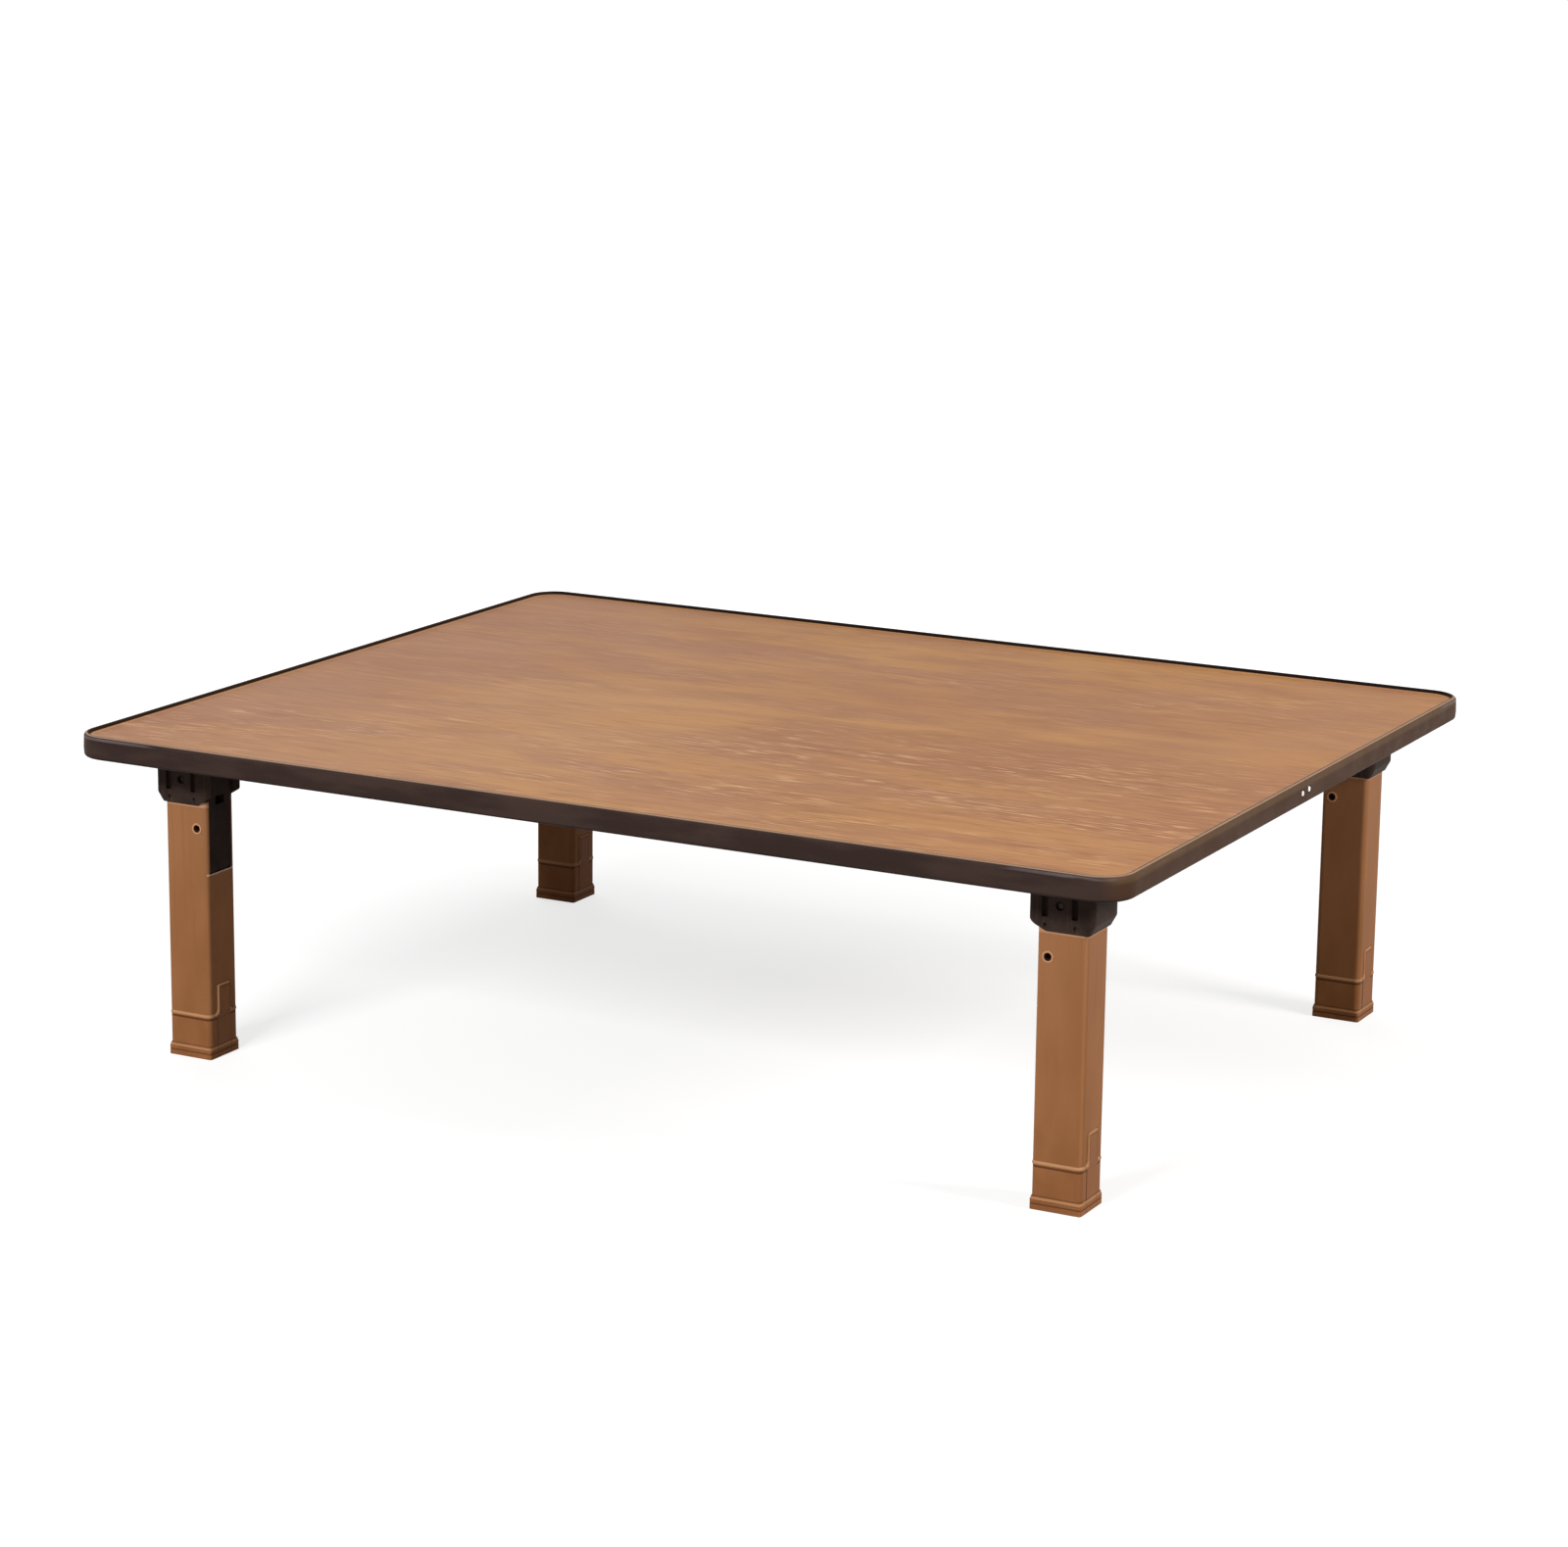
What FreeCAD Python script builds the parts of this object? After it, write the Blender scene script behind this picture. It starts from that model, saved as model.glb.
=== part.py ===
import FreeCAD, Part
import math
import os

# Folding low table. The origin lies on the floor under the middle of the top:
# +X runs along the long side, +Y away from the front, +Z up. All lengths are in mm.

# The top
top_length = 1000.0
top_width = 800.0
table_height = 300.0
corner_radius = 30.0
core_thickness = 13.6
laminate_thickness = 0.8
balance_thickness = 0.6

# The edge moulding, its tongue and the groove for it
moulding_wall = 3.0
lip_height = 3.0
lip_overlap = 1.8
lip_round = 0.8
shoulder_radius = 3.0
face_crown = 0.4
tongue_length = 8.0
tongue_thickness = 2.0
barb_height = 0.4
barb_count = 3
groove_clearance = 0.15
seam_gap = 0.4
seam_offset = 7.1

# The two nails that hold the ends of the moulding
nail_spacing = 14.7
nail_rise = 0.2
nail_step = 1.0
nail_head_radius = 2.5
nail_head_height = 1.0
nail_shank_radius = 0.9
nail_length = 20.0
nail_dimple_radius = 3.5
nail_dimple_depth = 1.05
nail_clearance = 0.05

# The leg: a steel tube of rectangular section
leg_depth = 44.0
leg_width = 42.0
leg_corner = 4.5
leg_inset_x = 54.0
leg_inset_y = 64.0
tube_wall = 1.2
tube_tuck = 3.0
plug_clearance = 0.1

# The bracket under the top, open towards the middle of the table
roof_thickness = 2.6
head_clearance = 1.1
head_swell = 0.3
bracket_margin_x = 6.5
bracket_margin_y = 6.0
bracket_corner = 7.5
bracket_skirt = 23.0
bracket_chamfer_height = 9.0
bracket_chamfer_inset = 4.8
bracket_knee_round = 4.0
bracket_rim_round = 0.5
cheek_end_chamfer = 14.6
outer_gap = 0.6
cheek_gap = 0.4

# The fixed knuckle between the two ears of the leg head
knuckle_width = 10.0
knuckle_gap = 0.5
knuckle_slot_gap = 1.0
stem_lead = 1.0
roof_edge_gap = 1.0
notch_width = 7.0
notch_depth = 3.2

# The pivot pin
pin_radius = 3.0
pin_recess = 1.8
pin_bevel = 0.4
fixed_clearance = 0.02
running_clearance = 0.06

# The bracket screws and the channels that they are driven through
screw_end_inset = 15.5
screw_inset = 2.5
screw_head_radius = 2.5
screw_head_height = 1.8
screw_head_round = 0.8
screw_shank_radius = 1.5
screw_length = 16.0
screw_tip_length = 3.0
screw_tip_radius = 0.3
screw_clearance = 0.1
recess_length = 2.8
recess_width = 0.8
recess_depth = 1.0
channel_width = 5.5
channel_bottom_drop = 10.0
ledge_thickness = 6.0
access_radius = 2.0

# The leg head, a moulded insert that plugs into the top of the tube
plug_length = 76.0
core_out_wall = 3.0
core_out_roof = 8.0
spring_seat_wall = 2.8

# The lock lever in the inner face of the leg
lever_thickness = 5.0
lever_side_gap = 0.1
lever_pocket_gap = 0.1
lever_back_gap = 0.5
lever_lower_arm = 40.3
lever_end_gap = 1.4
window_edge_bevel = 0.7
lever_edge_round = 0.8
lever_travel_angle = 4.5
lever_travel_spare = 1.0
tooth_width = 9.6
tooth_height = 6.4
tooth_length = 2.6
tooth_cap = 0.8
tooth_gap = 0.4
lever_window_width = 13.0
lever_window_height = 7.5
lever_window_drop = 20.5
window_relief_depth = 5.0
window_relief_margin = 1.0

# The tubular rivet that the lever rocks on
rivet_inset = 10.0
rivet_drop = 44.3
rivet_bore = 2.5
rivet_wall = 0.7
rivet_head_radius = 5.0
rivet_head_height = 0.6
rivet_head_bevel = 0.3
rivet_flare_depth = 1.0
eye_wall = 1.6
eye_gap = 0.5

# The return spring behind the lower arm of the lever
spring_drop = 26.0
spring_radius = 2.7
spring_wire_radius = 0.3
spring_turns = 5
spring_seat_depth = 6.0
spring_seat_gap = 0.6
spring_end_gap = 0.05

# The foot boot, a moulded plug and shoe at the lower end of the tube
boot_top = 41.0
spigot_height = 49.0
spigot_wall = 2.5
boot_floor = 6.0
flange_height = 11.0
flange_proud = 0.8
flange_corner = 2.2
flange_bevel_height = 2.4
flange_groove_height = 0.9
flange_groove_depth = 0.45
flange_groove_level = 4.6
bead_height = 4.0
bead_proud = 0.6
bead_slope = 1.6
strip_width = 19.0
strip_height = 26.0
strip_proud = 1.4
strip_edge_bevel = 1.2
strip_top_round = 2.0
strip_foot_round = 4.0
strip_gap = 0.5
strip_depth = 4.0

# One overrun for cuts, and angles in degrees
overrun = 5.0
quarter_turn = 90.0
half_turn = 180.0

# Levels and places worked out from the sizes above
board_thickness = core_thickness + laminate_thickness + balance_thickness
board_top = table_height - lip_height
board_bottom = board_top - board_thickness
board_middle = (board_top + board_bottom) / 2
core_bottom = board_bottom + balance_thickness
core_top = board_top - laminate_thickness
board_half_x = top_length / 2 - moulding_wall
board_half_y = top_width / 2 - moulding_wall
board_corner = corner_radius - moulding_wall

half_depth = leg_depth / 2
half_width = leg_width / 2
leg_x = top_length / 2 - leg_inset_x - half_depth
leg_y = top_width / 2 - leg_inset_y - half_width
head_radius = half_depth + head_swell
pivot_z = board_bottom - roof_thickness - head_clearance - head_radius
roof_bottom = board_bottom - roof_thickness
bracket_bottom = pivot_z - bracket_skirt
tube_top = bracket_bottom + tube_tuck
plug_bottom = tube_top - plug_length
plug_half_x = half_depth - tube_wall - plug_clearance
plug_half_y = half_width - tube_wall - plug_clearance
plug_corner = leg_corner - tube_wall - plug_clearance

bracket_half_x = half_depth + bracket_margin_x
bracket_half_y = half_width + bracket_margin_y
pocket_half_y = half_width + cheek_gap
screw_offset = bracket_half_x - screw_end_inset
screw_y = bracket_half_y - screw_inset
channel_bottom = pivot_z - channel_bottom_drop
ledge_bottom = board_bottom - ledge_thickness
pin_half_length = bracket_half_y - pin_recess

rivet_x = half_depth - rivet_inset
rivet_z = pivot_z - rivet_drop
rivet_radius = rivet_bore + rivet_wall
window_half_y = half_width - leg_corner
lever_half_y = window_half_y - lever_side_gap
lever_back_x = half_depth - lever_thickness
lever_bottom = rivet_z - lever_lower_arm
lever_overtop = tooth_height / 2 + tooth_cap
lever_top = pivot_z + lever_overtop
knuckle_radius = lever_back_x - tooth_length - tooth_gap
roof_edge_x = -lever_overtop - roof_edge_gap
stem_edge_x = roof_edge_x - stem_lead
window_bottom = lever_bottom - lever_end_gap
lever_travel = lever_lower_arm * math.sin(math.radians(lever_travel_angle))
pocket_x = lever_back_x - lever_travel - lever_travel_spare
pocket_half_width = window_half_y + lever_pocket_gap
eye_radius = rivet_radius + eye_wall
spring_z = rivet_z - spring_drop
spring_seat_x = pocket_x - spring_seat_depth

# The four corners of the table: name, side along X, side along Y. A right leg is
# the same part as a left leg, turned by half a turn.
corners = (
    ("front_left", -1, -1),
    ("front_right", 1, -1),
    ("back_left", -1, 1),
    ("back_right", 1, 1),
)


def vec(x, y, z):
    return FreeCAD.Vector(x, y, z)


def block(x0, x1, y0, y1, z0, z1):
    return Part.makeBox(x1 - x0, y1 - y0, z1 - z0, vec(x0, y0, z0))


def rod_x(radius, x0, x1, y, z):
    return Part.makeCylinder(radius, x1 - x0, vec(x0, y, z), vec(1, 0, 0))


def rod_y(radius, x, y0, y1, z):
    return Part.makeCylinder(radius, y1 - y0, vec(x, y0, z), vec(0, 1, 0))


def rod_z(radius, x, y, z0, z1):
    return Part.makeCylinder(radius, z1 - z0, vec(x, y, z0), vec(0, 0, 1))


def outline(half_x, half_y, radius, z):
    """A rectangle with round corners, as a wire at one level."""
    edges = []
    turn = math.pi / 4
    ends = []
    for sx, sy, start in ((1, -1, -2), (1, 1, 0), (-1, 1, 2), (-1, -1, 4)):
        centre = vec(sx * (half_x - radius), sy * (half_y - radius), z)
        points = []
        for step in range(3):
            angle = (start + step) * turn
            points.append(centre + vec(radius * math.cos(angle), radius * math.sin(angle), 0))
        ends.append(points)
    for index, points in enumerate(ends):
        edges.append(Part.Arc(*points).toShape())
        edges.append(Part.makeLine(points[-1], ends[(index + 1) % len(ends)][0]))
    return Part.Wire(edges)


def plate(half_x, half_y, radius, z0, z1):
    """A rounded rectangle drawn up from one level to another."""
    return Part.Face(outline(half_x, half_y, radius, z0)).extrude(vec(0, 0, z1 - z0))


def taper(half_x, half_y, radius, grow, z0, z1):
    """A rounded rectangle that grows by the same amount on every side as it rises."""
    low = outline(half_x, half_y, radius, z0)
    high = outline(half_x + grow, half_y + grow, radius + grow, z1)
    return Part.makeLoft([low, high], True, True)


def joined(shapes):
    """One clean solid out of several that overlap or share faces."""
    whole = shapes[0].fuse(shapes[1:])
    return whole.removeSplitter()


def placed(shape, side_x, side_y):
    """Carries a shape from the middle of the leg's own frame to its corner."""
    copy = shape.copy()
    if side_x > 0:
        copy.rotate(vec(0, 0, 0), vec(0, 0, 1), half_turn)
    copy.translate(vec(side_x * leg_x, side_y * leg_y, 0))
    return copy


def save(name, shape):
    shape.exportStep("parts/" + name + ".step")


# Top


def screw_places():
    places = []
    for _, side_x, side_y in corners:
        for dx in (-screw_offset, screw_offset):
            for dy in (-screw_y, screw_y):
                places.append((side_x * leg_x + dx, side_y * leg_y + dy))
    return places


def nail_places():
    """Y and Z of the two nails, which aren't driven quite level."""
    places = []
    for side in (-1, 1):
        y = -seam_offset + side * nail_spacing / 2
        places.append((y, board_middle + nail_rise + side * nail_step / 2))
    return places


def groove_half():
    return tongue_thickness / 2 + barb_height + groove_clearance


def make_core_board():
    board = plate(board_half_x, board_half_y, board_corner, core_bottom, core_top)
    depth = tongue_length + groove_clearance
    low = board_middle - groove_half()
    high = board_middle + groove_half()
    outer = block(-top_length, top_length, -top_width, top_width, low, high)
    inner = plate(board_half_x - depth, board_half_y - depth, board_corner - depth, low, high)
    board = board.cut(outer.cut(inner))
    pilots = []
    for x, y in screw_places():
        tip = ledge_bottom + screw_length + screw_clearance
        pilots.append(rod_z(screw_shank_radius + fixed_clearance, x, y, core_bottom - overrun, tip))
    nail_tip = top_length / 2 - nail_length - nail_clearance
    for y, z in nail_places():
        reach = nail_shank_radius + nail_clearance
        pilots.append(rod_x(reach, nail_tip, top_length / 2, y, z))
    return board.cut(pilots)


def make_top_laminate():
    return plate(board_half_x, board_half_y, board_corner, core_top, board_top)


def make_balance_sheet():
    sheet = plate(board_half_x, board_half_y, board_corner, board_bottom, core_bottom)
    holes = []
    for x, y in screw_places():
        reach = screw_shank_radius + screw_clearance
        holes.append(rod_z(reach, x, y, board_bottom - overrun, core_bottom + overrun))
    return sheet.cut(holes)


def tongue_side(sign):
    """Points along one side of the barbed tongue, from the board's edge inwards."""
    root = -moulding_wall
    step = tongue_length / barb_count
    flat = sign * tongue_thickness / 2
    peak = sign * (tongue_thickness / 2 + barb_height)
    points = [(root, flat)]
    for index in range(barb_count):
        start = root - index * step
        points.append((start - step / 2, peak))
        points.append((start - step, flat))
    return points


def moulding_profile():
    """Section of the moulding: first value outwards from the table's edge, second up."""
    half = board_thickness / 2 + lip_height
    board = board_thickness / 2
    inner = -moulding_wall - lip_overlap
    face = -face_crown
    low = half - shoulder_radius
    crest = face - shoulder_radius
    arc_x = crest + shoulder_radius * math.sqrt(2) / 2
    arc_z = low + shoulder_radius * math.sqrt(2) / 2
    round_x = inner + lip_round * (1 - math.sqrt(2) / 2)
    round_z = half - lip_round * (1 - math.sqrt(2) / 2)

    def at(point):
        return vec(point[0], 0, point[1])

    upper = tongue_side(1)
    lower = tongue_side(-1)
    edges = [Part.Arc(at((face, low)), at((0, 0)), at((face, -low))).toShape()]
    for side in (-1, 1):
        top = side * half
        start = (inner, top - side * lip_round)
        finish = (inner + lip_round, top)
        edges.append(Part.Arc(at(start), at((round_x, side * round_z)), at(finish)).toShape())
        edges.append(Part.makeLine(at(finish), at((crest, top))))
        shoulder = Part.Arc(at((crest, top)), at((arc_x, side * arc_z)), at((face, side * low)))
        edges.append(shoulder.toShape())
    chain = [(inner, lip_round - half), (inner, -board), (-moulding_wall, -board)]
    chain += lower + upper[::-1]
    chain += [(-moulding_wall, board), (inner, board), (inner, half - lip_round)]
    for first, second in zip(chain, chain[1:]):
        edges.append(Part.makeLine(at(first), at(second)))
    return Part.Face(Part.Wire(Part.__sortEdges__(edges)))


def make_edge_moulding():
    """Four straight runs and four corners of one section, open at the seam."""
    profile = moulding_profile()
    run_x = top_length / 2 - corner_radius
    run_y = top_width / 2 - corner_radius
    pieces = []
    for quarter in range(4):
        along = run_y if quarter % 2 == 0 else run_x
        across = top_length / 2 if quarter % 2 == 0 else top_width / 2
        straight = profile.copy()
        straight.translate(vec(across, -along, board_middle))
        straight = straight.extrude(vec(0, 2 * along, 0))
        bend = profile.copy()
        bend.translate(vec(across, along, board_middle))
        centre = vec(across - corner_radius, along, 0)
        bend = bend.revolve(centre, vec(0, 0, 1), quarter_turn)
        for piece in (straight, bend):
            piece.rotate(vec(0, 0, 0), vec(0, 0, 1), quarter * quarter_turn)
            pieces.append(piece)
    ring = joined(pieces)
    edge = top_length / 2
    cuts = [
        block(edge - corner_radius, edge + overrun,
              -seam_offset - seam_gap / 2, -seam_offset + seam_gap / 2,
              board_bottom - overrun, board_top + overrun)
    ]
    for y, z in nail_places():
        reach = nail_shank_radius + nail_clearance
        cuts.append(rod_x(reach, edge - corner_radius, edge + overrun, y, z))
        cuts.append(rod_x(nail_dimple_radius, edge - nail_dimple_depth, edge + overrun, y, z))
    return ring.cut(cuts)


def make_seam_nails():
    nails = []
    edge = top_length / 2
    seat = edge - nail_dimple_depth
    for y, z in nail_places():
        head = rod_x(nail_head_radius, seat, seat + nail_head_height, y, z)
        rim = [e for e in head.Edges if abs(e.CenterOfMass.x - seat - nail_head_height) < fixed_clearance]
        head = head.makeFillet(nail_head_height / 2, [e for e in rim if len(e.Vertexes) == 1])
        shank = rod_x(nail_shank_radius, edge - nail_length + nail_head_height, seat, y, z)
        point = Part.makeCone(nail_shank_radius, 0, nail_head_height,
                              vec(edge - nail_length + nail_head_height, y, z), vec(-1, 0, 0))
        nails.append(joined([head, shank, point]))
    return Part.makeCompound(nails)


# Bracket


def edges_at(shape, level):
    """The edges of a shape that lie flat at one level."""
    return [e for e in shape.Edges if all(abs(v.Z - level) < fixed_clearance for v in e.Vertexes)]


def bracket_body():
    """Outer form: upright walls with round corners over a lower edge that draws in."""
    inset = bracket_chamfer_inset
    knee = bracket_bottom + bracket_chamfer_height
    low = taper(bracket_half_x - inset, bracket_half_y - inset, bracket_corner - inset,
                inset, bracket_bottom, knee)
    high = plate(bracket_half_x, bracket_half_y, bracket_corner, knee, board_bottom)
    body = joined([low, high])
    body = body.makeFillet(bracket_knee_round, edges_at(body, knee))
    return body.makeFillet(bracket_rim_round, edges_at(body, bracket_bottom))


def leg_pocket():
    """The room that the leg swings in, open towards the middle of the table."""
    start = -half_depth - outer_gap
    finish = bracket_half_x + overrun
    under = block(start, finish, -pocket_half_y, pocket_half_y,
                  bracket_bottom - overrun, roof_bottom)
    over = block(roof_edge_x, finish, -pocket_half_y, pocket_half_y,
                 bracket_bottom, board_bottom + overrun)
    return under.fuse(over)


def cheek_end_cut():
    """Takes the lower corner off the inner end of both cheeks."""
    base = bracket_bottom - overrun
    slope = bracket_chamfer_height / cheek_end_chamfer
    start = bracket_half_x - cheek_end_chamfer - overrun / slope
    finish = bracket_half_x + overrun
    top = bracket_bottom + bracket_chamfer_height + overrun * slope
    corner = [vec(start, 0, base), vec(finish, 0, base), vec(finish, 0, top), vec(start, 0, base)]
    wedge = Part.Face(Part.makePolygon(corner)).extrude(vec(0, 2 * bracket_half_y, 0))
    wedge.translate(vec(0, -bracket_half_y, 0))
    return wedge


def screw_channels():
    cuts = []
    reach = channel_width / 2
    for dx in (-screw_offset, screw_offset):
        for side in (-1, 1):
            y = side * screw_y
            out = side * (bracket_half_y + overrun)
            slot = block(dx - reach, dx + reach, min(y, out), max(y, out), channel_bottom, ledge_bottom)
            cuts.append(slot)
            cuts.append(rod_z(reach, dx, y, channel_bottom, ledge_bottom))
            hole = screw_shank_radius + screw_clearance
            cuts.append(rod_z(hole, dx, y, ledge_bottom, board_bottom + overrun))
            cuts.append(rod_z(access_radius, dx, y, bracket_bottom - overrun, channel_bottom))
    return cuts


def knuckle():
    """A fixed disc on a stem, with a notch for the standing and one for the folded leg."""
    half = knuckle_width / 2
    disc = rod_y(knuckle_radius, 0, -half, half, pivot_z)
    stem = block(-knuckle_radius, stem_edge_x, -half, half, pivot_z, board_bottom)
    whole = disc.fuse(stem)
    bottom = knuckle_radius - notch_depth
    reach = notch_width / 2
    inward = block(bottom, knuckle_radius + overrun, -knuckle_width, knuckle_width,
                   pivot_z - reach, pivot_z + reach)
    upward = block(-reach, reach, -knuckle_width, knuckle_width,
                   pivot_z + bottom, pivot_z + knuckle_radius + overrun)
    return whole.cut([inward, upward])


def make_leg_bracket():
    body = bracket_body().cut([leg_pocket(), cheek_end_cut()] + screw_channels())
    body = joined([body, knuckle()])
    bore = rod_y(pin_radius + fixed_clearance, 0, -leg_width, leg_width, pivot_z)
    return body.cut(bore)


def make_pivot_pin():
    pin = rod_y(pin_radius, 0, -pin_half_length, pin_half_length, pivot_z)
    rims = [e for e in pin.Edges if len(e.Vertexes) == 1]
    return pin.makeChamfer(pin_bevel, rims)


def make_screw(x, y):
    """One pan head screw, driven upwards, with a cross recess."""
    seat = ledge_bottom
    head = rod_z(screw_head_radius, x, y, seat - screw_head_height, seat)
    low = seat - screw_head_height
    rim = [e for e in head.Edges if len(e.Vertexes) == 1 and abs(e.CenterOfMass.z - low) < fixed_clearance]
    head = head.makeFillet(screw_head_round, rim)
    half = recess_length / 2
    thin = recess_width / 2
    cross = [
        block(x - half, x + half, y - thin, y + thin, low - overrun, low + recess_depth),
        block(x - thin, x + thin, y - half, y + half, low - overrun, low + recess_depth),
    ]
    head = head.cut(cross)
    neck = seat + screw_length - screw_tip_length
    shank = rod_z(screw_shank_radius, x, y, seat, neck)
    tip = Part.makeCone(screw_shank_radius, screw_tip_radius, screw_tip_length, vec(x, y, neck))
    return joined([head, shank, tip])


def make_bracket_screws():
    screws = []
    for dx in (-screw_offset, screw_offset):
        for dy in (-screw_y, screw_y):
            screws.append(make_screw(dx, dy))
    return Part.makeCompound(screws)


# Leg


def strip_face(spread, base):
    """Outline of the foot strip, seen along X, from a base level up."""
    half = strip_width / 2 + spread
    top = boot_top + strip_height + spread
    foot = strip_foot_round - spread
    start = boot_top + spread
    bend = strip_top_round
    low_turn = foot * (1 - math.sqrt(2) / 2)
    top_turn = bend * (1 - math.sqrt(2) / 2)

    def at(y, z):
        return vec(0, y, z)

    edges = []
    for sign in (-1, 1):
        wide = sign * (half + foot)
        side = sign * half
        edges.append(Part.makeLine(at(wide, base), at(wide, start)))
        edges.append(Part.Arc(at(wide, start), at(side + sign * low_turn, start + low_turn),
                              at(side, start + foot)).toShape())
        edges.append(Part.makeLine(at(side, start + foot), at(side, top - bend)))
        edges.append(Part.Arc(at(side, top - bend), at(side - sign * top_turn, top - top_turn),
                              at(side - sign * bend, top)).toShape())
    edges.append(Part.makeLine(at(-half + bend, top), at(half - bend, top)))
    edges.append(Part.makeLine(at(-half - foot, base), at(half + foot, base)))
    return Part.Face(Part.Wire(Part.__sortEdges__(edges)))


def foot_notches():
    """The two notches in the lower end of the tube."""
    face = strip_face(strip_gap, boot_top - overrun)
    face.translate(vec(-leg_depth, 0, 0))
    return face.extrude(vec(2 * leg_depth, 0, 0))


def make_leg_tube():
    tube = plate(half_depth, half_width, leg_corner, boot_top, tube_top)
    inner = plate(half_depth - tube_wall, half_width - tube_wall, leg_corner - tube_wall,
                  boot_top - overrun, tube_top + overrun)
    window = block(pocket_x, half_depth + overrun, -window_half_y, window_half_y,
                   window_bottom, tube_top + overrun)
    rivet_hole = rod_y(rivet_radius + fixed_clearance, rivet_x, -leg_width, leg_width, rivet_z)
    tube = tube.cut([inner, window, rivet_hole, foot_notches()])
    sill = [e for e in edges_at(tube, window_bottom)
            if abs(e.CenterOfMass.x - half_depth) < fixed_clearance]
    return tube.makeChamfer(window_edge_bevel, sill)


def head_form():
    """Flush with the tube below, and round about the pivot above."""
    low = plate(half_depth, half_width, leg_corner, tube_top, pivot_z)
    high = plate(half_depth, half_width, leg_corner, pivot_z, pivot_z + leg_depth)
    dome = rod_y(head_radius, 0, -leg_width, leg_width, pivot_z)
    return joined([low, high.common(dome)])


def lever_room():
    """The pocket that the lever rocks in, with room behind its lower arm."""
    finish = half_depth + overrun
    half = pocket_half_width
    upper = block(lever_back_x - lever_back_gap, finish, -half, half, rivet_z, board_bottom)
    lower = block(pocket_x, finish, -half, half, window_bottom, rivet_z)
    eye = rod_y(eye_radius + eye_gap, rivet_x, -half, half, rivet_z)
    neck_top = rivet_z + eye_radius + eye_gap
    neck = block(rivet_x, finish, -half, half, rivet_z, neck_top)
    seat = rod_x(spring_radius + spring_wire_radius + spring_seat_gap,
                 spring_seat_x, pocket_x + overrun, 0, spring_z)
    middle = pivot_z - lever_window_drop
    reach = lever_window_height / 2 + window_relief_margin
    wide = lever_window_width / 2 + window_relief_margin
    relief = block(lever_back_x - window_relief_depth, finish, -wide, wide,
                   middle - reach, middle + reach)
    return [upper, lower, eye, neck, seat, relief]


def make_leg_insert():
    plug = plate(plug_half_x, plug_half_y, plug_corner, plug_bottom, tube_top)
    body = joined([plug, head_form()])
    ear_gap = knuckle_width / 2 + knuckle_gap
    slot_low = pivot_z - knuckle_radius - knuckle_slot_gap
    slot = block(-knuckle_radius - knuckle_slot_gap, half_depth + overrun, -ear_gap, ear_gap,
                 slot_low, board_bottom)
    hollow = block(-plug_half_x + core_out_wall, spring_seat_x - spring_seat_wall,
                   -plug_half_y + core_out_wall, plug_half_y - core_out_wall,
                   plug_bottom - overrun, tube_top - core_out_roof)
    bore = rod_y(pin_radius + running_clearance, 0, -leg_width, leg_width, pivot_z)
    rivet_hole = rod_y(rivet_radius + fixed_clearance, rivet_x, -leg_width, leg_width, rivet_z)
    return body.cut([slot, hollow, bore, rivet_hole] + lever_room())


def make_lock_lever():
    """A flat rocker: eye on the rivet, long arms up and down, tooth at the top."""
    half = lever_half_y
    arm = block(lever_back_x, half_depth, -half, half, lever_bottom, lever_top)
    outer = [e for e in arm.Edges
             if abs(e.CenterOfMass.x - half_depth) < fixed_clearance]
    arm = arm.makeFillet(lever_edge_round, outer)
    eye = rod_y(eye_radius, rivet_x, -half, half, rivet_z)
    neck = block(rivet_x, lever_back_x, -half, half, rivet_z - eye_radius, rivet_z + eye_radius)
    tooth = block(knuckle_radius + tooth_gap, lever_back_x, -tooth_width / 2, tooth_width / 2,
                  pivot_z - tooth_height / 2, pivot_z + tooth_height / 2)
    body = joined([arm, eye, neck, tooth])
    middle = pivot_z - lever_window_drop
    window = block(pocket_x, half_depth + overrun, -lever_window_width / 2, lever_window_width / 2,
                   middle - lever_window_height / 2, middle + lever_window_height / 2)
    bore = rod_y(rivet_radius + running_clearance, rivet_x, -leg_width, leg_width, rivet_z)
    return body.cut([window, bore])


def make_lever_rivet():
    """A tube through the leg with a low round head turned over at each end."""
    body = rod_y(rivet_radius, rivet_x, -half_width, half_width, rivet_z)
    heads = []
    for side in (-1, 1):
        low = half_width if side > 0 else -half_width - rivet_head_height
        head = rod_y(rivet_head_radius, rivet_x, low, low + rivet_head_height, rivet_z)
        edge_y = side * (half_width + rivet_head_height)
        rim = [e for e in head.Edges
               if len(e.Vertexes) == 1 and abs(e.CenterOfMass.y - edge_y) < fixed_clearance]
        heads.append(head.makeFillet(rivet_head_bevel, rim))
    whole = joined([body] + heads)
    cuts = [rod_y(rivet_bore, rivet_x, -leg_width, leg_width, rivet_z)]
    for side in (-1, 1):
        mouth = vec(rivet_x, side * (half_width + rivet_head_height), rivet_z)
        cuts.append(Part.makeCone(rivet_bore + rivet_flare_depth, rivet_bore, rivet_flare_depth,
                                  mouth, vec(0, -side, 0)))
    return whole.cut(cuts)


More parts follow.
